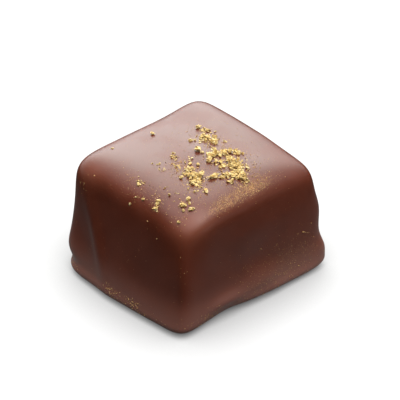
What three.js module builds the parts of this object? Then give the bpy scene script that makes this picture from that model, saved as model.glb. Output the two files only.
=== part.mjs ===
// A square chocolate praline: one solid, coated by pouring liquid chocolate over a block.
// The coat has softly rounded shoulders and upright edges, walls that flare towards a thin
// foot where it ran down and pooled, and the small swells and dips it set with.
//
// Millimetres, +Z up. The origin lies on the surface the praline stands on, in the middle of its
// outline. Going round, the corners are left (-X -Y), front (+X -Y), right (+X +Y) and
// back (-X +Y).
import * as THREE from "three";
import { ParametricGeometry } from "three/addons/geometries/ParametricGeometry.js";

// ---- Driving dimensions -------------------------------------------------------------------

const HEIGHT = 17.2; // of a praline with a level top; each corner also has its own rise

// Each corner: foot and top are where its flat walls would cross if the upright edge were
// sharp, rise is the height there, and square is how tight the edge is at the foot and at the
// top (the exponent of a superellipse).
const CORNERS = [
  { name: "left", foot: [-13.6, -15.0], top: [-12.8, -12.5], rise: 17.7, square: [4.6, 7.4] },
  { name: "front", foot: [12.3, -14.0], top: [12.6, -12.3], rise: 17.9, square: [11.0, 4.3] },
  { name: "right", foot: [13.7, 14.3], top: [12.8, 12.6], rise: 17.1, square: [8.0, 7.3] },
  { name: "back", foot: [-13.5, 13.2], top: [-12.8, 13.2], rise: 18.4, square: [9.0, 10.0] },
];
const SIDE_SIGNS = [[-1, -1], [1, -1], [1, 1], [-1, 1]]; // of X and Y, corner by corner

const FLARE = 1.09; // over 1, the walls lean out more quickly near the foot
const CROWN = 0.71; // how far the middle of the top stands above its edges
const SHOULDER = { depth: 7.0, square: 5.8 }; // the rounding from the walls into the top
const FOOT_ROUND = { depth: 1.95, square: 2.8 }; // the rounding from the walls into the underside
const FLAT_SHARE = 0.8; // of the half width, the level part of the underside
const FOOT_LIP = { out: 0.31, height: 0.9, tall: 1.05 }; // the coat's thin pooled rim

// Where the coat swells out of the walls (or draws in, when out is negative). Angles are
// counter-clockwise from +X, seen from above; wide is in degrees and tall in millimetres. A lean
// carries the middle of the swell round by that many degrees for each millimetre up.
const SWELLS = [
  { name: "left edge, drawn in", angle: 223, height: 1.8, wide: 13, tall: 1.2, lean: 0.3, out: -0.9 },
  { name: "left foot, skirt", angle: 241, height: 1.5, wide: 12, tall: 1.2, lean: 0, out: -0.03 },
  { name: "left edge, bulge", angle: 230, height: 3.4, wide: 18, tall: 2.2, lean: 0, out: 0.27 },
  { name: "front edge", angle: 315, height: 7.3, wide: 4.6, tall: 6.5, lean: -0.4, out: 0.6 },
  { name: "front foot", angle: 315, height: 1.8, wide: 7.4, tall: 2.5, lean: 0, out: 0.45 },
  { name: "right edge, foot", angle: 45, height: 3, wide: 7, tall: 1.8, lean: 0.5, out: 0.67 },
  { name: "right edge, middle", angle: 54, height: 9.3, wide: 9, tall: 2.7, lean: 0.2, out: 0.8 },
  { name: "left fold, ridge", angle: 250.4, height: 7.9, wide: 4.9, tall: 6.5, lean: -2.1, out: 0.26 },
  { name: "left fold, facet", angle: 234.4, height: 7.8, wide: 12.1, tall: 6.8, lean: -1.4, out: -0.58 },
  { name: "left front wall, upper", angle: 255, height: 14.1, wide: 32, tall: 1.9, lean: 0.2, out: -0.12 },
  { name: "left front, by the fold", angle: 253, height: 12, wide: 11.5, tall: 4.1, lean: -0.4, out: -0.19 },
  { name: "left front wall, middle", angle: 272, height: 7.7, wide: 38, tall: 3.8, lean: 0, out: 0.06 },
  { name: "left front foot", angle: 273, height: 2.9, wide: 20, tall: 3.8, lean: 0, out: 0.42 },
  { name: "left front foot, near", angle: 298, height: 2.4, wide: 14, tall: 2, lean: 0, out: 0.35 },
  { name: "right front wall, upper", angle: 5, height: 14.1, wide: 37, tall: 1.8, lean: 0, out: -0.23 },
  { name: "right front, near", angle: 331, height: 11.4, wide: 14.5, tall: 5.4, lean: 0, out: -0.46 },
  { name: "right front, hollow", angle: 356, height: 6.3, wide: 39, tall: 4.6, lean: 0.2, out: -0.41 },
  { name: "right front, far", angle: 20, height: 7.2, wide: 14, tall: 2.5, lean: 0, out: 0.13 },
  { name: "right front foot, near", angle: 337.2, height: 2.6, wide: 14, tall: 1.2, lean: -0.2, out: 0.51 },
  { name: "right front foot", angle: 2, height: 3.4, wide: 15, tall: 2, lean: 0, out: 0.59 },
  { name: "right front rim, drawn in", angle: 337.8, height: 1, wide: 10, tall: 1, lean: 0, out: -0.43 },
  { name: "right front rim, far", angle: 13, height: 1, wide: 9, tall: 1.6, lean: 0, out: 0.15 },
];

// Where the rim curls up off the surface, by rise millimetres.
const CURLS = [
  { name: "right front, near", angle: 340, wide: 15, rise: 0.5 },
  { name: "right front, far", angle: 8, wide: 14.5, rise: 0.2 },
];

// Shallow dips (and, when rise is positive, mounds) in the top, at x and y.
const DIPS = [
  { name: "left side, middle", x: -8.9, y: -1.9, wide: 6.9, rise: -0.5 },
  { name: "left side, far", x: -11.2, y: 5.7, wide: 5.0, rise: -0.6 },
  { name: "left side, near", x: -6.0, y: -9.8, wide: 4.9, rise: 0.12 },
  { name: "back side, far", x: -3.1, y: 13.8, wide: 4.3, rise: 0.25 },
  { name: "back side, middle", x: 1.8, y: 11.7, wide: 3.4, rise: 0.23 },
  { name: "right corner", x: 8.2, y: 10.6, wide: 4.1, rise: -0.2 },
  { name: "right side", x: 10.1, y: 5.4, wide: 5.7, rise: 0.5 },
  { name: "front corner", x: 9.8, y: -12.0, wide: 3.4, rise: -0.94 },
  { name: "middle", x: 1.3, y: 1.0, wide: 4.1, rise: 0.37 },
];

// ---- Mesh fineness ------------------------------------------------------------------------

const STEPS_PER_SIDE = 22; // around, closer together at the upright edges
const RINGS = { underside: 2, footRound: 6, wall: 10, shoulder: 13, top: 6 };

const CHOCOLATE = new THREE.MeshStandardMaterial({
  name: "milk chocolate",
  color: 0x5a3328,
  roughness: 0.35,
  metalness: 0,
});

// ---- Shape --------------------------------------------------------------------------------

const bell = (distance, width) => Math.exp(-((distance / width) ** 2));
const mix = (from, to, share) => from + (to - from) * share;
const steps = (from, to, count) =>
  Array.from({ length: count + 1 }, (_, i) => mix(from, to, i / count));

/** How far two angles in degrees lie apart, the short way round. */
function turnBetween(a, b) {
  return ((((a - b + 180) % 360) + 360) % 360) - 180;
}

/** A quarter of a superellipse: how far out and how far along its depth at turn 0 to 1. */
function quarter(turn, square) {
  const angle = (turn * Math.PI) / 2;
  return { out: Math.sin(angle) ** (2 / square), along: Math.cos(angle) ** (2 / square) };
}

/**
 * The outline from the middle of the underside up the wall to the middle of the top: spread is
 * the share of the half width and height is in millimetres.
 */
function profileRings() {
  const shoulderFoot = HEIGHT - SHOULDER.depth;
  const flat = steps(0, FLAT_SHARE, RINGS.underside).map((spread) => ({ spread, height: 0 }));
  const footRound = steps(0, 1, RINGS.footRound).map((turn) => {
    const { out, along } = quarter(turn, FOOT_ROUND.square);
    return { spread: mix(FLAT_SHARE, 1, out), height: FOOT_ROUND.depth * (1 - along) };
  });
  const shoulderAt = (turn) => {
    const { out, along } = quarter(turn, SHOULDER.square);
    return { spread: out, height: shoulderFoot + SHOULDER.depth * along };
  };
  const wallTurn = 0.965; // above this turn the shoulder is as good as upright
  const topTurn = 0.12; // below this turn it is as good as level
  const wallTop = shoulderAt(wallTurn);
  const wall = steps(FOOT_ROUND.depth, wallTop.height, RINGS.wall).map((height) => {
    const rise = Math.max(0, (height - shoulderFoot) / SHOULDER.depth);
    return { spread: (1 - rise ** SHOULDER.square) ** (1 / SHOULDER.square), height };
  });
  const shoulder = steps(wallTurn, topTurn, RINGS.shoulder).map(shoulderAt);
  const top = steps(shoulderAt(topTurn).spread, 0, RINGS.top).map((spread) => {
    const along = (1 - spread ** SHOULDER.square) ** (1 / SHOULDER.square);
    return { spread, height: shoulderFoot + SHOULDER.depth * along };
  });
  return [...flat, ...footRound.slice(1), ...wall.slice(1), ...shoulder.slice(1), ...top.slice(1)];
}

/** The angle of a step around: evenly spread on the walls, closer together at the edges. */
function angleAround(share) {
  const side = Math.min(3, Math.floor(share * 4));
  const along = (share * 4 - side) * 2 - 1;
  return Math.atan(Math.sin((along * Math.PI) / 2)) + (side * Math.PI) / 2;
}

/** How square the upright edges are at an angle, from those of the two nearest corners. */
function squarenessAt(angle, level) {
  return CORNERS.reduce((sum, corner, i) => {
    const [signX, signY] = SIDE_SIGNS[i];
    const away = turnBetween((angle * 180) / Math.PI, (Math.atan2(signY, signX) * 180) / Math.PI);
    const share = Math.abs(away) < 90 ? Math.cos((away * Math.PI) / 180) ** 2 : 0;
    return sum + share * mix(corner.square[0], corner.square[1], level);
  }, 0);
}

/** A corner value carried over the square from the four corners, for a and b from -1 to 1. */
function overCorners(valueOf, a, b) {
  return CORNERS.reduce((sum, corner, i) => {
    const [signX, signY] = SIDE_SIGNS[i];
    return sum + (valueOf(corner) * (1 + signX * a) * (1 + signY * b)) / 4;
  }, 0);
}

/** The point of the coat on a ring of the profile, at an angle in radians. */
function coatPoint(ring, angle) {
  const { spread, height } = ring;
  const level = height / HEIGHT;
  const degrees = (angle * 180) / Math.PI;
  const cosine = Math.cos(angle);
  const sine = Math.sin(angle);
  const square = squarenessAt(angle, level);
  const reach = spread * (Math.abs(cosine) ** square + Math.abs(sine) ** square) ** (-1 / square);
  const a = reach * cosine;
  const b = reach * sine;

  const footShare = (1 - level) ** FLARE;
  const place = [0, 1].map((axis) =>
    overCorners((corner) => mix(corner.top[axis], corner.foot[axis], footShare), a, b));

  const lip = FOOT_LIP.out * bell(height - FOOT_LIP.height, FOOT_LIP.tall);
  const swell = SWELLS.reduce((sum, s) => {
    const away = turnBetween(degrees, s.angle + s.lean * (height - s.height));
    return sum + s.out * bell(away, s.wide) * bell(height - s.height, s.tall);
  }, lip);
  const x = place[0] + swell * spread ** 4 * cosine;
  const y = place[1] + swell * spread ** 4 * sine;

  const rise = overCorners((corner) => corner.rise, a, b) / HEIGHT - 1;
  const rim = THREE.MathUtils.smoothstep(spread, FLAT_SHARE, 1) * bell(height, 3);
  const curl = CURLS.reduce((sum, c) => sum + c.rise * bell(turnBetween(degrees, c.angle), c.wide), 0);
  const dip = DIPS.reduce((sum, d) => sum + d.rise * bell(Math.hypot(x - d.x, y - d.y), d.wide), 0);
  const crown = CROWN * (1 - a ** 2) * (1 - b ** 2);
  const z = height * (1 + rise * level ** 1.5) + curl * rim + (dip + crown) * level ** 4;
  return [x, y, z];
}

function coatGeometry() {
  const rings = profileRings();
  const last = rings.length - 1;
  const geometry = new ParametricGeometry((around, up, target) => {
    target.set(...coatPoint(rings[Math.round(up * last)], angleAround(around)));
  }, STEPS_PER_SIDE * 4, last);
  geometry.computeBoundingBox();
  const middle = geometry.boundingBox.getCenter(new THREE.Vector3());
  geometry.translate(-middle.x, -middle.y, -geometry.boundingBox.min.z);
  return geometry;
}

const praline = new THREE.Mesh(coatGeometry(), CHOCOLATE);
praline.name = "praline";

const part = new THREE.Group();
part.name = "chocolate praline";
part.add(praline);

export default part;
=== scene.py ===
"""A square coated chocolate praline with gold crumbs and gold dust, on a pale floor.

The shape is worked out in millimetres and turned into metres where a mesh is made. The corners
are named left (-X -Y), front (+X -Y), right (+X +Y) and back (-X +Y), as the camera sees them.
"""

import math

import bpy
import numpy as np
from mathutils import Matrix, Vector


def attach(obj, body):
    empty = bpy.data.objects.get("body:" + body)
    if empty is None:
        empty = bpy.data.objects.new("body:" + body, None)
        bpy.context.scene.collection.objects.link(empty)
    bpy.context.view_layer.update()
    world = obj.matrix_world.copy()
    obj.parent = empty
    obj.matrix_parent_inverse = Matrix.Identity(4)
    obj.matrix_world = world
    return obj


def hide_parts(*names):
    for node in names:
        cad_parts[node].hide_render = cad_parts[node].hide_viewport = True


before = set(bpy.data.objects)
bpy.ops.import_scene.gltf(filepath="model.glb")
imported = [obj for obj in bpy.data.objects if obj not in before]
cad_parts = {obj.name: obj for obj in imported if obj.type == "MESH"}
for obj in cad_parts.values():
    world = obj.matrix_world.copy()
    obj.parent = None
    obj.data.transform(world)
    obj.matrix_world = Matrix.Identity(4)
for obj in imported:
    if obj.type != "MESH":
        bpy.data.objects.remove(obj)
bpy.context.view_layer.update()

MM = 0.001
rng = np.random.default_rng(31)

# ---- The coat's driving dimensions, in millimetres and degrees ------------------------------

HEIGHT = 17.2
# The corners in the order left, front, right, back: their signs, the x and y of each one's foot
# and top, how high its top stands, and the section's exponent at its foot and at its top
SIGNS = ((-1, -1), (1, -1), (1, 1), (-1, 1))
FEET = ((-13.6, -15.0), (12.3, -14.0), (13.7, 14.3), (-13.5, 13.2))
TOPS = ((-12.8, -12.5), (12.6, -12.3), (12.8, 12.6), (-12.8, 13.2))
RISES = (17.7, 17.9, 17.1, 18.4)
SQUARE_FOOT = (4.6, 11.0, 8.0, 9.0)
SQUARE_TOP = (7.4, 4.3, 7.3, 10.0)
FLARE = 1.09
CROWN = 0.71
SHOULDER_DEPTH, SHOULDER_SQUARE = 7.0, 5.8
FOOT_DEPTH, FOOT_SQUARE = 1.95, 2.8
FLAT_SHARE = 0.8
LIP_OUT, LIP_HEIGHT, LIP_TALL = 0.31, 0.9, 1.05
HALF_WIDTH = 12.7
CURL_TALL = 3  # how far up the wall a curl of the rim reaches
SWELL_FADE = 4  # the swells grow as this power of the spread
RISE_FADE, CROWN_FADE = 1.5, 4  # the rises and the crown grow as these powers of the level

# angle, height, wide (degrees), tall, lean (degrees a millimetre), out: where the coat swells out
# or, when out is negative, is drawn in
SWELLS = {
    "left edge, drawn in": (223, 1.8, 13, 1.2, 0.3, -0.9),
    "left foot, skirt": (241, 1.5, 12, 1.2, 0, -0.03),
    "left edge, bulge": (230, 3.4, 18, 2.2, 0, 0.27),
    "front edge": (315, 7.3, 4.6, 6.5, -0.4, 0.6),
    "front foot": (315, 1.8, 7.4, 2.5, 0, 0.45),
    "right edge, foot bulge": (45, 3, 7, 1.8, 0.5, 0.67),
    "right edge, middle": (54, 9.3, 9, 2.7, 0.2, 0.8),
    "left fold, ridge": (250.4, 7.9, 4.9, 6.5, -2.1, 0.26),
    "left fold, facet": (234.4, 7.8, 12.1, 6.8, -1.4, -0.58),
    "left front wall, upper": (255, 14.1, 32, 1.9, 0.2, -0.12),
    "left front wall, beside the fold": (253, 12, 11.5, 4.1, -0.4, -0.19),
    "left front wall, middle": (272, 7.7, 38, 3.8, 0, 0.06),
    "left front foot": (273, 2.9, 20, 3.8, 0, 0.42),
    "left front foot, near the front": (298, 2.4, 14, 2, 0, 0.35),
    "right front wall, upper": (5, 14.1, 37, 1.8, 0, -0.23),
    "right front wall, near the front": (331, 11.4, 14.5, 5.4, 0, -0.46),
    "right front wall, hollow": (356, 6.3, 39, 4.6, 0.2, -0.41),
    "right front wall, near the right": (20, 7.2, 14, 2.5, 0, 0.13),
    "right front foot, near the front": (337.2, 2.6, 14, 1.2, -0.2, 0.51),
    "right front foot": (2, 3.4, 15, 2, 0, 0.59),
    "right front rim, drawn in": (337.8, 1, 10, 1, 0, -0.43),
    "right front rim": (13, 1, 9, 1.6, 0, 0.15),
}
# angle, wide (degrees), rise: where the rim curls up off the floor
CURLS = {
    "right front, near the front": (340, 15, 0.5),
    "right front, near the right": (8, 14.5, 0.2),
}
# x, y, wide, rise: shallow dips and mounds in the top
DIPS = {
    "left side, middle": (-8.9, -1.9, 6.9, -0.5),
    "left side, far": (-11.2, 5.7, 5.0, -0.6),
    "left side, near the front": (-6.0, -9.8, 4.9, 0.12),
    "back side, near the back": (-3.1, 13.8, 4.3, 0.25),
    "back side, middle": (1.8, 11.7, 3.4, 0.23),
    "right corner": (8.2, 10.6, 4.1, -0.2),
    "right side, middle": (10.1, 5.4, 5.7, 0.5),
    "front corner": (9.8, -12.0, 3.4, -0.94),
    "middle": (1.3, 1.0, 4.1, 0.37),
}

# ---- Camera -----------------------------------------------------------------------------------

CAMERA_TURN, CAMERA_RISE = math.radians(47.2), math.radians(34.0)
CAMERA_DISTANCE = 400.0
PIXELS_PER_MM = 7.206
PHOTO_SIZE = 400
LOOK_HEIGHT = 8.5
LOOK_PIXEL = (190.4, 213.6)  # where the photo shows the axis at LOOK_HEIGHT
SENSOR = 36.0
CLIP_NEAR, CLIP_FAR = 0.01, 20  # metres


def make_camera():
    """The photo's viewpoint, as a long lens with no shift.

    The camera stands CAMERA_DISTANCE from the praline's axis. It is aimed at the point that lies
    in the middle of the photo: the point on the axis, moved by the pixels between the two.
    """
    turn, rise = CAMERA_TURN, CAMERA_RISE
    level = math.cos(rise)
    back = Vector((math.sin(turn) * level, -math.cos(turn) * level, math.sin(rise)))
    right = Vector((math.cos(turn), math.sin(turn), 0.0))
    up = back.cross(right)
    aside = (PHOTO_SIZE / 2 - LOOK_PIXEL[0]) / PIXELS_PER_MM
    above = (LOOK_PIXEL[1] - PHOTO_SIZE / 2) / PIXELS_PER_MM
    axis_point = Vector((0, 0, LOOK_HEIGHT))
    aim = axis_point + right * aside + up * above
    place = axis_point + back * CAMERA_DISTANCE

    data = bpy.data.cameras.new("camera")
    data.sensor_width = SENSOR
    data.lens = PIXELS_PER_MM * CAMERA_DISTANCE / PHOTO_SIZE * SENSOR
    data.clip_start, data.clip_end = CLIP_NEAR, CLIP_FAR
    camera = bpy.data.objects.new("camera", data)
    camera.location = place * MM
    camera.rotation_euler = (aim - place).to_track_quat("-Z", "Y").to_euler()
    bpy.context.scene.collection.objects.link(camera)
    bpy.context.scene.camera = camera


# ---- The coat's surface -------------------------------------------------------------------------

CURVE_STEPS = 4000  # points along each curve of the profile, before they are spaced evenly


def bell(distance, width):
    """exp(-(distance / width) squared): 1 in the middle and nearly 0 at twice the width."""
    return np.exp(-((distance / width) ** 2))


def ease(share):
    """3 s^2 - 2 s^3 of the share held between 0 and 1: a step with soft ends."""
    share = np.clip(share, 0, 1)
    return share * share * (3 - 2 * share)


def turn_between(a, b):
    """How far two angles in degrees lie apart, the short way round."""
    return (a - b + 180) % 360 - 180


def quarter(turn, square):
    """A quarter of a superellipse: sin(turn)^(2 / square) out, cos(turn)^(2 / square) along."""
    angle = turn * math.pi / 2
    return np.sin(angle) ** (2 / square), np.clip(np.cos(angle), 0, 1) ** (2 / square)


def outline(count):
    """The profile from the middle of the underside to the middle of the top, evenly spaced.

    Level for FLAT_SHARE of the half width, then a quarter superellipse up into the wall, the
    straight wall, and a larger quarter superellipse into the top. Returns spread, the share of
    the half width, and height.
    """
    turns = np.linspace(0, 1, CURVE_STEPS)
    out, along = quarter(turns, FOOT_SQUARE)
    foot_spread = FLAT_SHARE + (1 - FLAT_SHARE) * out
    foot_height = FOOT_DEPTH * (1 - along)
    out, along = quarter(turns[::-1], SHOULDER_SQUARE)
    spread = np.concatenate([[0], foot_spread, out])
    height = np.concatenate([[0], foot_height, HEIGHT - SHOULDER_DEPTH * (1 - along)])
    steps = np.hypot(np.diff(spread) * HALF_WIDTH, np.diff(height))
    length = np.concatenate([[0], np.cumsum(steps)])
    even = np.linspace(0, length[-1], count)
    return np.interp(even, length, spread), np.interp(even, length, height)


def over_corners(values, a, b):
    """The four corners' values, blended over the square by (1 + a) and (1 + b) shares."""
    return sum(v * (1 + sx * a) * (1 + sy * b) / 4 for v, (sx, sy) in zip(values, SIGNS))


def squareness(turn, level):
    """The section's exponent: each corner's own, weighted by cos^2 of the angle to that corner."""
    degrees = np.degrees(turn)
    total = 0
    for (sx, sy), foot, top in zip(SIGNS, SQUARE_FOOT, SQUARE_TOP):
        away = np.clip(turn_between(degrees, math.degrees(math.atan2(sy, sx))), -90, 90)
        total = total + np.cos(np.radians(away)) ** 2 * (foot + (top - foot) * level)
    return total


def coat(turn, spread, height):
    """Points of the coat at an angle on the ring of the profile with this spread and height.

    The section is a superellipse, stretched bilinearly over the corners' feet and tops, with the
    foot's share (1 - level)^FLARE. Bells push it out as lip and swells, times spread^SWELL_FADE,
    and up as curls of the rim. The corners' rises lift it by level^RISE_FADE, and the crown
    (1 - a^2)(1 - b^2) and the dips by level^CROWN_FADE.
    """
    level = height / HEIGHT
    degrees = np.degrees(turn)
    cosine, sine = np.cos(turn), np.sin(turn)
    square = squareness(turn, level)
    reach = spread * (np.abs(cosine) ** square + np.abs(sine) ** square) ** (-1 / square)
    a, b = reach * cosine, reach * sine

    foot_share = (1 - level) ** FLARE
    x, y = (
        over_corners([t[axis] for t in TOPS], a, b) * (1 - foot_share)
        + over_corners([f[axis] for f in FEET], a, b) * foot_share
        for axis in (0, 1)
    )
    out = LIP_OUT * bell(height - LIP_HEIGHT, LIP_TALL)
    for angle, middle, wide, tall, lean, amount in SWELLS.values():
        away = turn_between(degrees, angle + lean * (height - middle))
        out = out + amount * bell(away, wide) * bell(height - middle, tall)
    x = x + out * spread**SWELL_FADE * cosine
    y = y + out * spread**SWELL_FADE * sine

    rim = ease((spread - FLAT_SHARE) / (1 - FLAT_SHARE)) * bell(height, CURL_TALL)
    curl = dip = 0
    for angle, wide, rise in CURLS.values():
        curl = curl + rise * bell(turn_between(degrees, angle), wide)
    for middle_x, middle_y, wide, rise in DIPS.values():
        dip = dip + rise * bell(np.hypot(x - middle_x, y - middle_y), wide)
    rise = over_corners(RISES, a, b) / HEIGHT - 1
    crown = CROWN * np.clip(1 - a * a, 0, 1) * np.clip(1 - b * b, 0, 1)
    z = height * (1 + rise * level**RISE_FADE) + curl * rim + (crown + dip) * level**CROWN_FADE
    return np.stack(np.broadcast_arrays(x, y, z), axis=-1)


def angles_round(per_side):
    """Angles from -45 degrees round: atan(sin q) on each side, so closer together at the edges."""
    q = np.arange(per_side) / per_side * math.pi - math.pi / 2
    side = np.arctan(np.sin(q))
    return np.concatenate([side + k * math.pi / 2 for k in range(4)])


# ---- Meshes from arrays -------------------------------------------------------------------------


def mesh_object(name, points, triangles, material, smooth):
    """A mesh object at the origin from points in millimetres and rows of three point numbers."""
    mesh = bpy.data.meshes.new(name)
    mesh.vertices.add(len(points))
    mesh.vertices.foreach_set("co", (points * MM).ravel())
    mesh.loops.add(triangles.size)
    mesh.loops.foreach_set("vertex_index", triangles.ravel())
    mesh.polygons.add(len(triangles))
    mesh.polygons.foreach_set("loop_start", np.arange(0, triangles.size, 3))
    mesh.polygons.foreach_set("use_smooth", np.full(len(triangles), smooth))
    mesh.update(calc_edges=True)
    mesh.materials.append(material)
    piece = bpy.data.objects.new(name, mesh)
    bpy.context.scene.collection.objects.link(piece)
    return piece


def shell_triangles(rings, around):
    """Triangles of a closed skin: pole, then rings of points counted round, then pole.

    Point 0 is the lower pole and the last point is the upper one. Each ring's square between two
    points and the next ring's two is cut in two triangles, turned so that they face outwards.
    """
    ring = 1 + around * np.arange(rings)[:, None]
    here = np.arange(around)[None, :]
    after = (here + 1) % around
    low, high = ring[:-1], ring[1:]
    sides = np.stack([
        np.stack([low + here, low + after, high + after], axis=-1),
        np.stack([low + here, high + after, high + here], axis=-1),
    ]).reshape(-1, 3)
    here, after = here[0], after[0]
    top = 1 + rings * around
    lower = np.stack([np.zeros_like(here), 1 + after, 1 + here], axis=-1)
    upper = np.stack([ring[-1] + here, ring[-1] + after, np.full_like(here, top)], axis=-1)
    return np.concatenate([lower, sides, upper])


# ---- The chocolate skin -------------------------------------------------------------------------

RINGS, PER_SIDE = 210, 100


def praline_points():
    """The coat's points ring by ring, with single points for the poles, centred on the outline."""
    spread, height = outline(RINGS)
    turn = angles_round(PER_SIDE)
    points = coat(turn[None, :], spread[:, None], height[:, None])
    rows = points[1:-1].reshape(-1, 3)
    return np.concatenate([points[:1, 0], rows, points[-1:, 0]])


def outline_middle(points):
    """The middle of the points' outline seen from above, at the height of the lowest one."""
    low, high = points.min(axis=0), points.max(axis=0)
    return np.array([(low[0] + high[0]) / 2, (low[1] + high[1]) / 2, low[2]])


def make_praline(material):
    """The coat as one closed skin, in the place of the solid."""
    points = praline_points()
    triangles = shell_triangles(RINGS - 2, PER_SIDE * 4)
    piece = mesh_object("praline_coat", points - MIDDLE, triangles, material, smooth=True)
    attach(piece, "root")
    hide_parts("praline")


MIDDLE = outline_middle(praline_points())

# ---- Places on the coat -------------------------------------------------------------------------

PROFILE_COUNT = 3000
PROFILE = outline(PROFILE_COUNT)
PROFILE_SHARE = np.linspace(0, 1, PROFILE_COUNT)
# on_top() walks this often, and stays within this share of the half width
WALK_ROUNDS, WIDEST_SPREAD = 12, 0.999


def point_at(turn, along):
    """The coat's point at an angle and at a share along the profile, centred as the mesh is."""
    spread = np.interp(along, PROFILE_SHARE, PROFILE[0])
    height = np.interp(along, PROFILE_SHARE, PROFILE[1])
    return coat(turn, spread, height) - MIDDLE


def stand_at(turn, along):
    """Point, two level directions and the outward direction there, from small steps each way."""
    step = 0.002
    point = point_at(turn, along)
    round_way = point_at(turn + step, along) - point_at(turn - step, along)
    up_way = point_at(turn, along + step) - point_at(turn, along - step)
    out = np.cross(round_way, up_way)
    out /= np.linalg.norm(out, axis=-1, keepdims=True)
    first = round_way / np.linalg.norm(round_way, axis=-1, keepdims=True)
    return point, first, np.cross(out, first), out


def on_top(x, y):
    """The angle and profile share of the top's points above x and y.

    Starts from the flat guess a = x / half width, b = y / half width, and walks it by the error,
    WALK_ROUNDS times, until coat() lands above x and y. Spread is the superellipse norm of a and b.
    """
    a, b = x / HALF_WIDTH, y / HALF_WIDTH
    first = PROFILE_COUNT // 2
    for _ in range(WALK_ROUNDS):
        turn = np.arctan2(b, a)
        square = squareness(turn, 1.0)
        spread = (np.abs(a) ** square + np.abs(b) ** square) ** (1 / square)
        spread = np.clip(spread, 0, WIDEST_SPREAD)
        along = np.interp(-spread, -PROFILE[0][first:], PROFILE_SHARE[first:])
        found = point_at(turn, along)
        a = a + (x - found[..., 0]) / HALF_WIDTH
        b = b + (y - found[..., 1]) / HALF_WIDTH
    return turn, along


def on_wall(degrees, height):
    """The angle and profile share of a place on a wall, from its angle and its height.

    A height that strays below LOWEST_GRAIN is held there, so that no grain lies under the rim.
    """
    reach = np.searchsorted(PROFILE[1], np.maximum(height, LOWEST_GRAIN))
    return np.radians(degrees), PROFILE_SHARE[np.clip(reach, 0, PROFILE_COUNT - 1)]


# ---- Gold ---------------------------------------------------------------------------------------

# Crumbs strewn along a line on the top: from x, y; to x, y; how far they stray; how many; the
# smallest and the largest
STREWN_CRUMBS = {
    "upper patch, far": (-3.3, 5.4, -1.8, 5.9, 0.26, 15, 0.19, 0.48),
    "upper patch, middle": (-2.3, 3.5, -0.4, 4.9, 0.36, 30, 0.19, 0.48),
    "upper patch, near": (-1.8, 2.5, 0.9, 4.2, 0.26, 27, 0.20, 0.55),
    "upper patch, fallen": (0.6, 2.6, 1.8, 2.8, 0.28, 18, 0.12, 0.30),
    "ring, left arm": (2.5, 0.7, 3.6, 3.8, 0.34, 32, 0.22, 0.62),
    "ring, far arm": (3.5, 3.9, 4.8, 4.9, 0.34, 25, 0.19, 0.53),
    "ring, middle": (4.6, 1.9, 6.4, 3.8, 0.55, 59, 0.17, 0.50),
    "ring, right side": (6.5, 2.5, 8.4, 1.8, 0.55, 62, 0.17, 0.52),
    "ring, inner arm": (4.4, 0.4, 5.8, 1.6, 0.24, 22, 0.16, 0.42),
    "ring, near arm": (6.9, 0.1, 9.0, 1.6, 0.42, 57, 0.17, 0.52),
    "ring, near spur": (8.2, -0.6, 8.8, -0.2, 0.26, 13, 0.16, 0.40),
    "ring, tail": (8.9, 1.1, 9.9, 1.4, 0.25, 18, 0.13, 0.33),
    "left patch, far": (2.4, -3.1, 3.3, -2.6, 0.22, 13, 0.22, 0.55),
    "left patch, middle": (3.1, -4.0, 4.1, -3.4, 0.26, 18, 0.19, 0.48),
    "left patch, right": (4.2, -3.9, 5.6, -2.7, 0.34, 34, 0.20, 0.59),
    "left patch, near": (5.0, -4.4, 6.0, -4.0, 0.26, 18, 0.22, 0.59),
    "left patch, tip": (4.5, -2.4, 4.7, -1.9, 0.18, 5, 0.19, 0.42),
    "left patch, fallen": (6.4, -4.4, 7.3, -4.6, 0.22, 13, 0.11, 0.28),
    "left patch, far crumbs": (1.1, -1.2, 1.6, -1.1, 0.18, 6, 0.20, 0.46),
    "left patch, far row": (1.7, -2.3, 2.4, -1.8, 0.18, 7, 0.19, 0.40),
    "left patch, near crumbs": (5.0, -5.2, 6.1, -6.0, 0.18, 6, 0.10, 0.24),
    "thin row, far": (-1.7, -1.9, 0.0, -2.6, 0.26, 26, 0.12, 0.34),
    "thin row, near": (0.7, -3.5, 1.7, -3.8, 0.18, 10, 0.13, 0.36),
    "flat crumbs": (6.7, -5.7, 7.3, -5.3, 0.14, 5, 0.13, 0.31),
    "faint row, far": (-1.9, -5.2, -0.9, -4.9, 0.20, 10, 0.10, 0.24),
    "faint row, near": (-0.3, -5.5, 0.7, -5.2, 0.20, 14, 0.10, 0.24),
    "left shoulder": (-0.9, -9.3, 0.3, -9.1, 0.26, 18, 0.12, 0.35),
    "left edge": (4.5, -10.0, 5.0, -10.9, 0.20, 11, 0.16, 0.38),
    "left edge, pair": (5.0, -8.5, 5.2, -8.3, 0.10, 3, 0.20, 0.44),
    "left edge, dots": (3.5, -8.0, 3.6, -7.4, 0.12, 4, 0.11, 0.22),
    "front, dots": (5.0, -7.7, 5.7, -7.5, 0.14, 5, 0.09, 0.20),
    "front edge": (8.5, -10.2, 9.0, -10.2, 0.15, 4, 0.10, 0.25),
}

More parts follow.
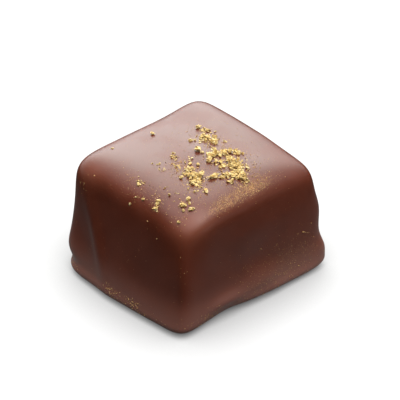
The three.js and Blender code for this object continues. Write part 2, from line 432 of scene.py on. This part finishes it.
# Single lumps on the top: x, y, long, wide, tall, the angle of the long side (degrees)
LUMPS = {
    "far left": (-7.9, 0.2, 0.62, 0.50, 0.45, 20),
    "upper, far": (-4.2, 5.4, 0.85, 0.62, 0.50, 70),
    "upper, left": (-2.2, 2.1, 0.58, 0.42, 0.36, 60),
    "upper, bright": (0.4, 4.2, 1.10, 0.48, 0.45, 87),
    "upper, middle": (-0.9, 4.3, 0.70, 0.46, 0.40, 40),
    "upper, right": (1.1, 5.4, 0.62, 0.28, 0.22, 30),
    "between": (0.6, 0.8, 0.92, 0.80, 0.66, 0),
    "ring, left": (2.9, 1.4, 1.25, 0.60, 0.58, 65),
    "ring, left tip": (3.4, 0.3, 0.92, 0.62, 0.60, 100),
    "ring, far": (4.6, 4.7, 0.82, 0.62, 0.52, 30),
    "ring, top": (3.3, 3.2, 0.95, 0.66, 0.50, 60),
    "ring, inner": (5.5, 0.4, 0.46, 0.40, 0.34, 0),
    "ring, right": (7.4, 2.3, 0.85, 0.60, 0.45, 120),
    "ring, near": (8.0, 0.6, 0.80, 0.55, 0.45, 20),
    "long flake": (6.4, -1.7, 1.90, 0.58, 0.62, 76),
    "long flake, end": (7.1, -0.8, 0.85, 0.44, 0.38, 60),
    "left patch, bright": (2.9, -2.9, 1.05, 0.52, 0.50, 50),
    "left patch, middle": (4.9, -3.6, 1.00, 0.66, 0.55, 20),
    "left patch, near": (5.4, -4.2, 0.90, 0.60, 0.50, 75),
    "left single": (3.5, -5.0, 0.66, 0.46, 0.42, 10),
    "small single": (3.0, -1.4, 0.50, 0.42, 0.34, 0),
    "slanted": (7.8, -4.4, 1.00, 0.44, 0.40, -20),
    "front, far": (7.4, -7.2, 0.66, 0.50, 0.42, 80),
    "front, left": (7.6, -8.4, 0.95, 0.66, 0.52, 40),
    "front, right": (8.9, -8.0, 0.78, 0.56, 0.46, 60),
    "front, near": (8.2, -8.9, 0.42, 0.36, 0.30, 0),
    "front, dark": (8.0, -7.6, 0.44, 0.36, 0.26, 0),
    "front tip": (8.8, -10.3, 0.48, 0.34, 0.28, 10),
    "left edge, upper": (4.5, -10.0, 0.62, 0.36, 0.30, 30),
    "left edge, lower": (5.0, -10.9, 0.46, 0.36, 0.30, 0),
    "left edge, single": (2.4, -10.8, 0.44, 0.36, 0.30, 0),
    "left edge, pale": (0.7, -11.7, 0.50, 0.34, 0.16, 70),
    "left edge, dot": (1.1, -11.0, 0.24, 0.20, 0.16, 0),
    "left corner, flake": (-9.2, -6.1, 0.48, 0.26, 0.14, 40),
}

# Grains strewn along a line on the top, as the crumbs are
STREWN_GRAINS = {
    "round the upper patch": (-3.5, 4.4, 1.5, 4.0, 0.9, 70, 0.08, 0.20),
    "round the ring": (3.0, 1.6, 9.0, 2.4, 1.1, 150, 0.08, 0.22),
    "round the near arm": (6.5, -1.2, 10.0, 1.0, 0.8, 110, 0.08, 0.20),
    "right of the ring": (5.5, 5.5, 9.8, 3.5, 0.9, 60, 0.07, 0.17),
    "round the left patch": (2.0, -3.2, 6.8, -4.0, 0.9, 130, 0.08, 0.22),
    "left of the left patch": (-1.2, -2.4, 1.8, -4.2, 0.6, 70, 0.07, 0.20),
    "right shoulder, near": (10.6, -6.6, 10.9, -1.0, 0.50, 70, 0.06, 0.14),
    "right shoulder, middle": (10.3, -1.0, 11.0, 2.2, 0.60, 130, 0.06, 0.18),
    "right shoulder, far": (10.9, 2.2, 11.1, 7.0, 0.50, 50, 0.06, 0.14),
    "front of the left patch": (7.0, -5.6, 8.6, -9.6, 0.9, 60, 0.07, 0.17),
    "left shoulder": (-1.5, -9.0, 6.0, -10.6, 0.8, 70, 0.06, 0.16),
    "front tip": (8.4, -9.9, 9.2, -10.6, 0.35, 18, 0.08, 0.20),
    "round the front lumps": (7.2, -7.0, 8.8, -8.8, 0.6, 40, 0.08, 0.20),
    "round the left edge": (3.4, -9.0, 5.4, -11.0, 0.5, 40, 0.07, 0.18),
}

# Dust strewn along a line on the top, as the crumbs are
STREWN_DUST = {
    "gold's own dust": (-3.0, 4.4, 9.0, 1.8, 2.2, 900, 0.05, 0.13),
    "left patch's dust": (1.0, -2.4, 7.4, -4.6, 1.8, 620, 0.05, 0.13),
    "right shoulder": (10.6, -5.6, 10.9, 3.8, 0.62, 1000, 0.04, 0.11),
    "left shoulder": (-4.0, -9.4, 7.0, -10.6, 1.1, 220, 0.05, 0.11),
    "all over the top": (-8.0, 2.5, 7.5, 2.0, 5.5, 700, 0.04, 0.09),
}

# Grains strewn along a line on the walls: from angle (degrees), height; to angle, height; how far
# they stray; how many; the smallest and the largest
STREWN_WALL = {
    "left front foot, left": (265, 2.2, 276, 1.9, 0.38, 60, 0.05, 0.16),
    "left front foot, right": (282, 2.1, 291, 2.0, 0.34, 60, 0.05, 0.19),
    "left front rim": (258, 1.5, 309, 1.3, 0.45, 90, 0.04, 0.10),
    "front foot": (317, 2.2, 332, 2.0, 0.7, 60, 0.05, 0.16),
    "right front wall, foot": (345, 2.4, 38, 2.8, 0.9, 190, 0.04, 0.12),
    "right front wall, low": (350, 4.6, 38, 6.2, 1.5, 260, 0.04, 0.10),
    "right front wall, all over": (322, 8.0, 36, 9.0, 3.0, 110, 0.03, 0.07),
    "left front wall, all over": (245, 8.0, 308, 8.0, 3.2, 60, 0.03, 0.07),
    "front edge": (313, 11.0, 316, 6.0, 0.5, 14, 0.05, 0.14),
    "left top corner": (232, 14.5, 240, 13.5, 0.5, 10, 0.06, 0.14),
    "left edge, foot": (226, 1.6, 238, 1.5, 0.3, 16, 0.06, 0.15),
    "speck, left front, upper": (290, 14.6, 290, 14.6, 0.01, 1, 0.24, 0.25),
    "speck, left front, lower": (298, 13.1, 298, 13.1, 0.01, 1, 0.24, 0.25),
    "speck, right front": (32.5, 7.7, 32.5, 7.7, 0.01, 1, 0.30, 0.31),
    "speck, beside it": (33.6, 7.6, 33.6, 7.6, 0.01, 1, 0.12, 0.13),
    "speck, right edge": (38, 8.4, 38, 8.4, 0.01, 1, 0.14, 0.15),
    "speck, left corner, upper": (239.2, 15.9, 239.2, 15.9, 0.01, 1, 0.26, 0.27),
    "speck, left corner, lower": (236.1, 14.4, 236.1, 14.4, 0.01, 1, 0.24, 0.25),
}

WALL_RADIUS = 13.5  # turns millimetres along a wall into degrees
LOWEST_GRAIN = 0.6
TOP_REACH = 11.6  # no dust is strewn further out on the top than this
CRUMB_SKEW, GRAIN_SKEW, DUST_SKEW = 1.5, 2.0, 1.5  # above 1, small ones are more common

# A fleck's rings of points and the points in each; its length as a multiple of its size; its
# width and height as shares of its length, from and to; its roughness, fold and lean (radians);
# and how much of what hangs below its middle stays clear of the coat
CRUMB = dict(rings=3, around=6, length=1.3, wide=(0.5, 1), tall=(0.2, 0.6),
             roughness=0.75, fold=0.9, lean=0.8, clear=0.7)
GRAIN = dict(rings=2, around=5, length=1.2, wide=(0.5, 1), tall=(0.3, 0.8),
             roughness=0.45, fold=0.3, lean=0.5, clear=0.6)
DUST = dict(rings=1, around=4, length=1.2, wide=(0.5, 1), tall=(0.3, 0.6),
            roughness=0.4, fold=0, lean=0.5, clear=0.6)

# The same for the single lumps, whose sizes and turn are given
LUMP_RINGS, LUMP_AROUND = 6, 10
LUMP_HEIGHT, LUMP_ROUGHNESS, LUMP_FOLD, LUMP_CLEAR = 0.9, 0.6, 0.4, 0.8

REACH_IN, REACH_OUT = -1.0, 0.7  # shares of the roughness by which a lump's points move
FOLD_STILL = 0.4  # how far from the line of a fold the lump is neither raised nor lowered

# How crumbs pile up, as piled() says
PILE_NEAR, PILE_RISE, PILE_MOST = 0.75, 0.34, 0.55
PILE_START, PILE_SLOPE = 1.4, 1.8


def unit_lump(rings, around):
    """Directions from a lump's middle: rings of points evenly round, and a pole at each end."""
    rise = np.linspace(-math.pi / 2, math.pi / 2, rings + 2)[1:-1, None]
    turn = np.arange(around)[None, :] / around * 2 * math.pi
    grid = np.cos(rise) * np.cos(turn), np.cos(rise) * np.sin(turn), np.sin(rise)
    ring = np.stack(np.broadcast_arrays(*grid), axis=-1).reshape(-1, 3)
    return np.concatenate([[[0, 0, -1.0]], ring, [[0, 0, 1.0]]]), shell_triangles(rings, around)


def random_tilts(count, spread):
    """Random rotations: a turn about the upright axis, then a lean by about spread radians."""
    spin = rng.uniform(0, 2 * math.pi, count)
    way = rng.uniform(0, 2 * math.pi, count)
    lean = rng.normal(0, spread, count)
    axis = np.stack([np.cos(way), np.sin(way), np.zeros(count)], axis=-1)
    return turned(axis, lean) @ turned(np.broadcast_to([0, 0, 1.0], (count, 3)), spin)


def turned(axis, angle):
    """Rotations about unit axes: I + sin(angle) K + (1 - cos(angle)) K^2, K the cross product."""
    x, y, z = axis.T
    none = np.zeros_like(x)
    cross = np.stack([none, -z, y, z, none, -x, -y, x, none], axis=-1).reshape(-1, 3, 3)
    return (
        np.eye(3)
        + np.sin(angle)[:, None, None] * cross
        + (1 - np.cos(angle))[:, None, None] * cross @ cross
    )


def crumpled(shape, sizes, roughness, fold):
    """Lumps from one unit shape, as crumpled foil: a random reach for each point, and a fold.

    Each point is moved in or out by roughness times a number from REACH_IN to REACH_OUT. It is
    raised by a random part of fold, times its distance from a random line through the middle less
    FOLD_STILL, and then scaled to half the long, wide and tall sizes.
    """
    count = len(sizes)
    reach = 1 + roughness * rng.uniform(REACH_IN, REACH_OUT, size=(count, len(shape), 1))
    local = shape[None] * reach
    line = rng.uniform(0, 2 * math.pi, count)
    aside = local[..., 0] * np.cos(line)[:, None] + local[..., 1] * np.sin(line)[:, None]
    amount = fold * rng.uniform(-1, 1, count)[:, None]
    local[..., 2] += amount * (np.abs(aside) - FOLD_STILL)
    return local * sizes[:, None, :] / 2


def flecks(sizes, rings, around, length, wide, tall, roughness, fold, lean, clear):
    """Crumpled lumps of these sizes in any width, height and tilt; their faces; and their lifts."""
    count = len(sizes)
    shape, faces = unit_lump(rings, around)
    shares = np.ones(count), rng.uniform(*wide, count), rng.uniform(*tall, count)
    sides = sizes[:, None] * length * np.stack(shares, axis=-1)
    local = crumpled(shape, sides, roughness, fold)
    local = np.einsum("nij,nvj->nvi", random_tilts(count, lean), local)
    return local, faces, lifted(local, clear)


def lifted(local, clear):
    """How far a lump is lifted: this share of its lowest point's depth below its middle."""
    return -local[..., 2].min(axis=1) * clear


def set_down(name, local, faces, turn, along, lift, material):
    """One mesh of many lumps, each moved to its place on the coat, lift above the coat's skin."""
    point, first, second, out = stand_at(turn, along)
    placed = (
        point[:, None, :]
        + local[..., 0:1] * first[:, None, :]
        + local[..., 1:2] * second[:, None, :]
        + (local[..., 2:3] + lift[:, None, None]) * out[:, None, :]
    )
    count, corners = local.shape[:2]
    triangles = faces[None] + np.arange(count)[:, None, None] * corners
    points, triangles = placed.reshape(-1, 3), triangles.reshape(-1, 3)
    piece = mesh_object(name, points, triangles, material, smooth=False)
    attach(piece, "root")


def strewn(rows, skew):
    """Places and sizes along the rows' lines: even along each line, normally spread across it.

    The size is smallest + (largest - smallest) u^skew, with u even from 0 to 1.
    """
    places, sizes = [], []
    for first, second, third, fourth, stray, count, small, large in rows.values():
        share = rng.uniform(0, 1, (count, 1))
        line = np.array([first, second]) + share * (np.array([third, fourth]) - [first, second])
        places.append(line + rng.normal(0, stray, (count, 2)))
        sizes.append(small + (large - small) * rng.uniform(0, 1, count) ** skew)
    return np.concatenate(places), np.concatenate(sizes)


def piled(places, sizes):
    """How high each crumb lies: on the skin, or partly on those before it that it overlaps.

    On a crumb closer than PILE_NEAR of their mean size, it lies higher than that one does by
    PILE_RISE of that one's size, times PILE_START - PILE_SLOPE distance / mean size, held between
    0 and 1. No crumb lies higher than PILE_MOST.
    """
    height = np.zeros(len(sizes))
    for i in range(1, len(sizes)):
        apart = np.hypot(*(places[:i] - places[i]).T)
        reach = (sizes[:i] + sizes[i]) / 2
        overlap = np.clip(PILE_START - PILE_SLOPE * apart / reach, 0, 1)
        under = height[:i] + PILE_RISE * sizes[:i] * overlap
        height[i] = min(np.where(apart < PILE_NEAR * reach, under, 0).max(), PILE_MOST)
    return height


def make_crumbs(material):
    """The strewn crumbs, set down from the largest to the smallest and piled where they meet."""
    places, sizes = strewn(STREWN_CRUMBS, CRUMB_SKEW)
    order = np.argsort(-sizes)
    places, sizes = places[order], sizes[order]
    local, faces, lift = flecks(sizes, **CRUMB)
    turn, along = on_top(*places.T)
    lift = piled(places, sizes) + lift
    set_down("gold_crumbs", local, faces, turn, along, lift, material)


def make_lumps(material):
    """The single lumps, each turned so that its long side points the way that LUMPS says."""
    x, y, long, wide, tall, degrees = np.array(list(LUMPS.values())).T
    shape, faces = unit_lump(LUMP_RINGS, LUMP_AROUND)
    sides = np.stack([long, wide, tall * LUMP_HEIGHT], axis=-1)
    local = crumpled(shape, sides, LUMP_ROUGHNESS, LUMP_FOLD)
    turn, along = on_top(x, y)
    first = stand_at(turn, along)[1]
    spin = np.radians(degrees) - np.arctan2(first[:, 1], first[:, 0])
    upright = np.broadcast_to([0, 0, 1.0], (len(x), 3))
    local = np.einsum("nij,nvj->nvi", turned(upright, spin), local)
    set_down("gold_lumps", local, faces, turn, along, lifted(local, LUMP_CLEAR), material)


def make_grains(material):
    """The grains, on the top and on the walls."""
    places, sizes = strewn(STREWN_GRAINS, GRAIN_SKEW)
    wall_places, wall_sizes = strewn_on_walls(STREWN_WALL, GRAIN_SKEW)
    turn, along = np.concatenate([on_top(*places.T), on_wall(*wall_places.T)], axis=1)
    local, faces, lift = flecks(np.concatenate([sizes, wall_sizes]), **GRAIN)
    set_down("gold_grains", local, faces, turn, along, lift, material)


def strewn_on_walls(rows, skew):
    """As strewn(), with angles that run on past 360 degrees and a stray in millimetres."""
    round_rows = {}
    degree = math.radians(1) * WALL_RADIUS
    for name, (start, low, end, high, *rest) in rows.items():
        end = start + (end - start) % 360
        round_rows[name] = (start * degree, low, end * degree, high, *rest)
    places, sizes = strewn(round_rows, skew)
    return places / [degree, 1], sizes


def make_dust(material):
    """The dust, on the top and its shoulders."""
    places, sizes = strewn(STREWN_DUST, DUST_SKEW)
    inside = np.abs(places).max(axis=1) < TOP_REACH
    places, sizes = places[inside], sizes[inside]
    local, faces, lift = flecks(sizes, **DUST)
    set_down("gold_dust", local, faces, *on_top(*places.T), lift, material)


# ---- Materials ----------------------------------------------------------------------------------

PATCH_LOW, PATCH_HIGH = 0.35, 0.65  # the slow noise's values that become 0 and 1


def relief_group():
    """A node group of two sizes of soft, uneven relief, for coats and foil alike.

    Waves is slow noise and grain is fast noise, both from Object coordinates; Height is their sum
    by the two amounts, and Patches is the slow noise alone, stretched to run from 0 to 1.
    """
    group = bpy.data.node_groups.new("soft_relief", "ShaderNodeTree")
    for name in ("Waves", "Grain", "Wave Height", "Grain Height"):
        group.interface.new_socket(name, in_out="INPUT", socket_type="NodeSocketFloat")
    for name in ("Height", "Patches"):
        group.interface.new_socket(name, in_out="OUTPUT", socket_type="NodeSocketFloat")
    nodes, link = group.nodes, group.links.new
    given, result = nodes.new("NodeGroupInput"), nodes.new("NodeGroupOutput")
    place = nodes.new("ShaderNodeTexCoord")
    waves, grain = noise(nodes, detail=2), noise(nodes, detail=3)
    link(place.outputs["Object"], waves.inputs["Vector"])
    link(place.outputs["Object"], grain.inputs["Vector"])
    link(given.outputs["Waves"], waves.inputs["Scale"])
    link(given.outputs["Grain"], grain.inputs["Scale"])
    tall = arithmetic(nodes, link, "MULTIPLY", waves.outputs["Fac"], given.outputs["Wave Height"])
    fine = arithmetic(nodes, link, "MULTIPLY", grain.outputs["Fac"], given.outputs["Grain Height"])
    link(arithmetic(nodes, link, "ADD", tall, fine), result.inputs["Height"])
    patches = ramp(nodes, link, waves.outputs["Fac"], PATCH_LOW, PATCH_HIGH)
    link(patches, result.inputs["Patches"])
    return group


def noise(nodes, detail, scale=1.0):
    """A Noise node of this detail and scale."""
    node = nodes.new("ShaderNodeTexNoise")
    node.inputs["Detail"].default_value = detail
    node.inputs["Scale"].default_value = scale
    return node


def arithmetic(nodes, link, operation, *terms):
    """A Math node over numbers and sockets; returns its output."""
    node = nodes.new("ShaderNodeMath")
    node.operation = operation
    for socket, term in zip(node.inputs, terms):
        if isinstance(term, (int, float)):
            socket.default_value = term
        else:
            link(term, socket)
    return node.outputs["Value"]


def ramp(nodes, link, value, low, high, start=0.0, end=1.0):
    """The value's place between low and high, held there, as a number from start to end."""
    node = nodes.new("ShaderNodeMapRange")
    node.interpolation_type = "SMOOTHSTEP"
    link(value, node.inputs["Value"])
    numbers = {"From Min": low, "From Max": high, "To Min": start, "To Max": end}
    for name, number in numbers.items():
        node.inputs[name].default_value = number
    return node.outputs["Result"]


def colour_between(nodes, link, share, first, second):
    """A mix of two colours, each a tuple or a socket, by a share from 0 to 1."""
    node = nodes.new("ShaderNodeMix")
    node.data_type = "RGBA"
    link(share, node.inputs["Factor"])
    for name, colour in (("A", first), ("B", second)):
        socket = [i for i in node.inputs if i.name == name and i.type == "RGBA"][0]
        if isinstance(colour, tuple):
            socket.default_value = (*colour, 1)
        else:
            link(colour, socket)
    return [o for o in node.outputs if o.type == "RGBA"][0]


def new_material(name):
    """A material with one Principled shader; returns it, its nodes, its link call, the shader."""
    material = bpy.data.materials.new(name)
    material.use_nodes = True
    nodes, link = material.node_tree.nodes, material.node_tree.links.new
    nodes.clear()
    shader = nodes.new("ShaderNodeBsdfPrincipled")
    output = nodes.new("ShaderNodeOutputMaterial")
    link(shader.outputs["BSDF"], output.inputs["Surface"])
    return material, nodes, link, shader


def add_relief(nodes, link, shader, relief, distance, **values):
    """Places the relief group with its values, bumps the shader by its height, returns it."""
    group = nodes.new("ShaderNodeGroup")
    group.node_tree = relief
    for name, value in values.items():
        group.inputs[name.replace("_", " ")].default_value = value
    bump = nodes.new("ShaderNodeBump")
    bump.inputs["Strength"].default_value = 1.0
    bump.inputs["Distance"].default_value = distance * MM
    link(group.outputs["Height"], bump.inputs["Height"])
    link(bump.outputs["Normal"], shader.inputs["Normal"])
    return group


CHOCOLATE = (0.140, 0.0338, 0.0174)
CHOCOLATE_DARK = (0.126, 0.0296, 0.0150)
COAT_ROUGHNESS = 0.31, 0.37  # in the darker and in the lighter patches
COAT_RELIEF = 0.02

# The foot is painted paler up to the first height and fades out by the second: a painted sheen, for
# the low light that the flared foot reflects
FOOT_PAINTED_SHEEN = (0.232, 0.098, 0.074)
PAINTED_SHEEN_LOW, PAINTED_SHEEN_HIGH = 1.0, 7.0

# x, y, z of the middle, how far it reaches along each, in millimetres, and how much: where the coat
# is painted a warmer, brighter red, as painted light glowing through the rounded top corners, and
# is rougher by the share below
CORNER_PAINTED_GLOW = {
    "front corner": (10.9, -10.0, 16.6, 2.4, 3.0, 2.6, 0.85),
    "left corner": (-8.4, -11.3, 16.4, 3.0, 1.9, 2.4, 0.42),
}
PAINTED_GLOW_CHOCOLATE = (0.245, 0.070, 0.036)
PAINTED_GLOW_DULL = 0.14

# The same for where the finest gold lies on the coat, too fine to be grains
DUSTED = {
    "right shoulder, near": (10.9, -3.9, 16.9, 0.60, 2.8, 3.0, 0.34),
    "right shoulder, far": (10.7, 1.2, 17.2, 0.75, 2.6, 3.0, 0.46),
    "right front wall, low": (13.0, 6.5, 4.4, 3.0, 5.0, 2.6, 0.07),
}
GOLD_HAZE = (0.42, 0.20, 0.07)
# The noises that break it up: scale, the two values between which each rises, and what it rises
# from and to
DUST_NOISES = {
    "clumps": (1800.0, 0.35, 0.65, 0.4, 1.6),
    "specks": (6500.0, 0.42, 0.62, 0.15, 1.85),
}


def patches_at(nodes, link, split, places):
    """The sum of a bell round each place, as exp(-sum of squares) of the reaches, by its amount."""
    total = 0.0
    for *middle, wide, deep, tall, amount in places.values():
        square = 0.0
        for axis, centre, reach in zip("XYZ", middle, (wide, deep, tall)):
            away = arithmetic(nodes, link, "SUBTRACT", split.outputs[axis], centre * MM)
            away = arithmetic(nodes, link, "DIVIDE", away, reach * MM)
            away = arithmetic(nodes, link, "POWER", away, 2.0)
            square = arithmetic(nodes, link, "ADD", square, away)
        fall = arithmetic(nodes, link, "MULTIPLY", square, -1.0)
        here = arithmetic(nodes, link, "EXPONENT", fall)
        here = arithmetic(nodes, link, "MULTIPLY", here, amount)
        total = arithmetic(nodes, link, "ADD", total, here)
    return total


def dusting(nodes, link, place, split):
    """The share of fine gold: the DUSTED places' bells, broken up by the DUST_NOISES."""
    total = patches_at(nodes, link, split, DUSTED)
    for scale, *levels in DUST_NOISES.values():
        node = noise(nodes, detail=1, scale=scale)
        link(place, node.inputs["Vector"])
        broken = ramp(nodes, link, node.outputs["Fac"], *levels)
        total = arithmetic(nodes, link, "MULTIPLY", total, broken)
    return total


def chocolate_material(relief):
    """Milk chocolate: satin, faintly uneven in colour and gloss, a little light under its skin,
    with a painted sheen on its foot and painted light warming two top corners.
    """
    material, nodes, link, shader = new_material("milk_chocolate")
    group = add_relief(nodes, link, shader, relief, COAT_RELIEF,
                       Waves=260.0, Grain=5200.0, Wave_Height=1.0, Grain_Height=0.12)
    patches = group.outputs["Patches"]
    body = colour_between(nodes, link, patches, CHOCOLATE_DARK, CHOCOLATE)
    place, split = nodes.new("ShaderNodeTexCoord"), nodes.new("ShaderNodeSeparateXYZ")
    link(place.outputs["Object"], split.inputs[0])
    # painted sheen: the foot's colour paled towards the floor, for the low light it reflects
    painted_sheen = ramp(nodes, link, split.outputs["Z"], PAINTED_SHEEN_LOW * MM, PAINTED_SHEEN_HIGH * MM, 1.0, 0.0)
    with_painted_sheen = colour_between(nodes, link, painted_sheen, body, FOOT_PAINTED_SHEEN)
    # painted light: a warmer, brighter red at the top corners, as if light glowed through them
    painted_glow = patches_at(nodes, link, split, CORNER_PAINTED_GLOW)
    with_painted_glow = colour_between(nodes, link, painted_glow, with_painted_sheen, PAINTED_GLOW_CHOCOLATE)
    dusted = dusting(nodes, link, place.outputs["Object"], split)
    link(colour_between(nodes, link, dusted, with_painted_glow, GOLD_HAZE), shader.inputs["Base Color"])
    satin = ramp(nodes, link, patches, 0, 1, *COAT_ROUGHNESS)
    dull = arithmetic(nodes, link, "MULTIPLY", painted_glow, PAINTED_GLOW_DULL)
    link(arithmetic(nodes, link, "ADD", satin, dull), shader.inputs["Roughness"])
    shader.inputs["IOR"].default_value = 1.45
    shader.inputs["Subsurface Weight"].default_value = 0.15
    shader.inputs["Subsurface Radius"].default_value = (1.0, 0.35, 0.2)
    shader.inputs["Subsurface Scale"].default_value = 1.0 * MM
    return material


GOLD = (0.72, 0.57, 0.27)
GOLD_DARK = (0.67, 0.46, 0.15)
FINE_GOLD = (0.70, 0.45, 0.19)
FINE_GOLD_DARK = (0.50, 0.29, 0.10)
GOLD_ROUGHNESS = 0.64, 0.50  # in the darker and in the lighter patches
GOLD_RELIEF = 0.05


def gold_material(name, relief, light, dark):
    """Edible gold: crumpled foil, mostly powdery and only a little metallic, with darker folds."""
    material, nodes, link, shader = new_material(name)
    group = add_relief(nodes, link, shader, relief, GOLD_RELIEF,
                       Waves=2600.0, Grain=9000.0, Wave_Height=1.0, Grain_Height=0.3)
    patches = group.outputs["Patches"]
    link(colour_between(nodes, link, patches, dark, light), shader.inputs["Base Color"])
    link(ramp(nodes, link, patches, 0, 1, *GOLD_ROUGHNESS), shader.inputs["Roughness"])
    shader.inputs["Metallic"].default_value = 0.15
    return material


# ---- Floor and light ----------------------------------------------------------------------------

FLOOR_HALF = 3000.0
FLOOR_SEEN, FLOOR_GLOW = 0.16, 0.85
SHADE_REACH, SHADE_DEPTH = 10.0, 0.95
FLOOR_REFLECTED = 0.42
FLOOR_REACH = 23.0
CARD_MIDDLE = (-1.6, 4.5)


def make_floor():
    """A pale level floor, shaded softly where the praline stands closer than SHADE_REACH.

    The camera sees a matt grey of FLOOR_SEEN and a glow of FLOOR_GLOW openness^SHADE_DEPTH, where
    openness is the share of the sky above a place that nothing nearer than SHADE_REACH hides.
    Other rays see a share thrown back of FLOOR_REFLECTED exp(-(distance / FLOOR_REACH) squared),
    with the distance from CARD_MIDDLE, as from a pale card under the praline on a dark table.
    """
    points = np.array([[*sign, 0] for sign in SIGNS]) * FLOOR_HALF
    material = bpy.data.materials.new("pale_floor")
    material.use_nodes = True
    nodes, link = material.node_tree.nodes, material.node_tree.links.new
    nodes.clear()
    seen, card = nodes.new("ShaderNodeBsdfDiffuse"), nodes.new("ShaderNodeBsdfDiffuse")
    seen.inputs["Color"].default_value = (FLOOR_SEEN, FLOOR_SEEN, FLOOR_SEEN, 1)
    glow, lit = nodes.new("ShaderNodeEmission"), nodes.new("ShaderNodeAddShader")
    shade = nodes.new("ShaderNodeAmbientOcclusion")
    shade.inputs["Distance"].default_value = SHADE_REACH * MM
    glow_here = arithmetic(nodes, link, "POWER", shade.outputs["AO"], SHADE_DEPTH)
    link(arithmetic(nodes, link, "MULTIPLY", glow_here, FLOOR_GLOW), glow.inputs["Strength"])
    link(seen.outputs["BSDF"], lit.inputs[0])
    link(glow.outputs["Emission"], lit.inputs[1])
    place, length = nodes.new("ShaderNodeTexCoord"), nodes.new("ShaderNodeVectorMath")
    length.operation = "DISTANCE"
    link(place.outputs["Object"], length.inputs[0])
    length.inputs[1].default_value = (CARD_MIDDLE[0] * MM, CARD_MIDDLE[1] * MM, 0)
    reach = arithmetic(nodes, link, "DIVIDE", length.outputs["Value"], FLOOR_REACH * MM)
    fade = arithmetic(nodes, link, "MULTIPLY", arithmetic(nodes, link, "POWER", reach, 2.0), -1.0)
    share = arithmetic(nodes, link, "EXPONENT", fade)
    link(arithmetic(nodes, link, "MULTIPLY", share, FLOOR_REFLECTED), card.inputs["Color"])
    path, mix = nodes.new("ShaderNodeLightPath"), nodes.new("ShaderNodeMixShader")
    output = nodes.new("ShaderNodeOutputMaterial")
    link(path.outputs["Is Camera Ray"], mix.inputs["Fac"])
    link(card.outputs["BSDF"], mix.inputs[1])
    link(lit.outputs["Shader"], mix.inputs[2])
    link(mix.outputs["Shader"], output.inputs["Surface"])
    floor = mesh_object("floor", points, np.array([[0, 1, 2], [0, 2, 3]]), material, smooth=False)


WHITE = (1, 1, 1)
# turn and rise of the middle (degrees), tightness, strength, colour: the soft glow of each light
LIGHTS = {
    "behind": (133.5, 39, 16, 5.0, (0.98, 1.065, 1.0)),
    "behind, low": (146, 10, 9.6, 3.4, WHITE),
    "behind right, low": (106, 5, 16, 0.5, WHITE),
    "overhead, behind": (74, 60, 8, 1.7, WHITE),
    "overhead, front": (341, 73.5, 15, 6.3, (1.02, 0.985, 0.965)),
    "overhead, left": (189, 70, 16, 2.7, WHITE),
    "right, low": (13, 0, 24, 1.25, WHITE),
    "left, low": (185, 3, 18, 1.15, WHITE),
}


def make_light():
    """White where the camera sees it, and for all other rays the sum of the soft lights' glows.

    A light's glow is its colour times strength exp(tightness (cos(angle from its middle) - 1)).
    """
    bpy.context.scene.view_settings.view_transform = "Standard"
    world = bpy.data.worlds.new("studio")
    world.use_nodes = True
    bpy.context.scene.world = world
    nodes, link = world.node_tree.nodes, world.node_tree.links.new
    nodes.clear()
    place, way = nodes.new("ShaderNodeTexCoord"), nodes.new("ShaderNodeVectorMath")
    way.operation = "NORMALIZE"
    link(place.outputs["Generated"], way.inputs[0])
    total = None
    for turn, rise, tightness, strength, colour in LIGHTS.values():
        turn, rise = math.radians(turn), math.radians(rise)
        toward = nodes.new("ShaderNodeVectorMath")
        toward.operation = "DOT_PRODUCT"
        link(way.outputs["Vector"], toward.inputs[0])
        toward.inputs[1].default_value = (
            math.cos(turn) * math.cos(rise), math.sin(turn) * math.cos(rise), math.sin(rise))
        away = arithmetic(nodes, link, "SUBTRACT", toward.outputs["Value"], 1.0)
        away = arithmetic(nodes, link, "MULTIPLY", away, tightness)
        glow = arithmetic(nodes, link, "EXPONENT", away)
        coloured = nodes.new("ShaderNodeVectorMath")
        coloured.operation = "SCALE"
        coloured.inputs[0].default_value = colour
        link(arithmetic(nodes, link, "MULTIPLY", glow, strength), coloured.inputs["Scale"])
        both = nodes.new("ShaderNodeVectorMath")
        both.operation = "ADD"
        link(coloured.outputs["Vector"], both.inputs[0])
        if total:
            link(total, both.inputs[1])
        total = both.outputs["Vector"]
    around, seen = nodes.new("ShaderNodeBackground"), nodes.new("ShaderNodeBackground")
    link(total, around.inputs["Color"])
    seen.inputs["Color"].default_value = (*WHITE, 1)
    path, mix = nodes.new("ShaderNodeLightPath"), nodes.new("ShaderNodeMixShader")
    output = nodes.new("ShaderNodeOutputWorld")
    link(path.outputs["Is Camera Ray"], mix.inputs["Fac"])
    link(around.outputs["Background"], mix.inputs[1])
    link(seen.outputs["Background"], mix.inputs[2])
    link(mix.outputs["Shader"], output.inputs["Surface"])


make_camera()
make_floor()
make_light()
relief = relief_group()
make_praline(chocolate_material(relief))
gold = gold_material("edible_gold", relief, GOLD, GOLD_DARK)
make_crumbs(gold)
make_lumps(gold)
fine_gold = gold_material("edible_gold_dust", relief, FINE_GOLD, FINE_GOLD_DARK)
make_grains(fine_gold)
make_dust(fine_gold)
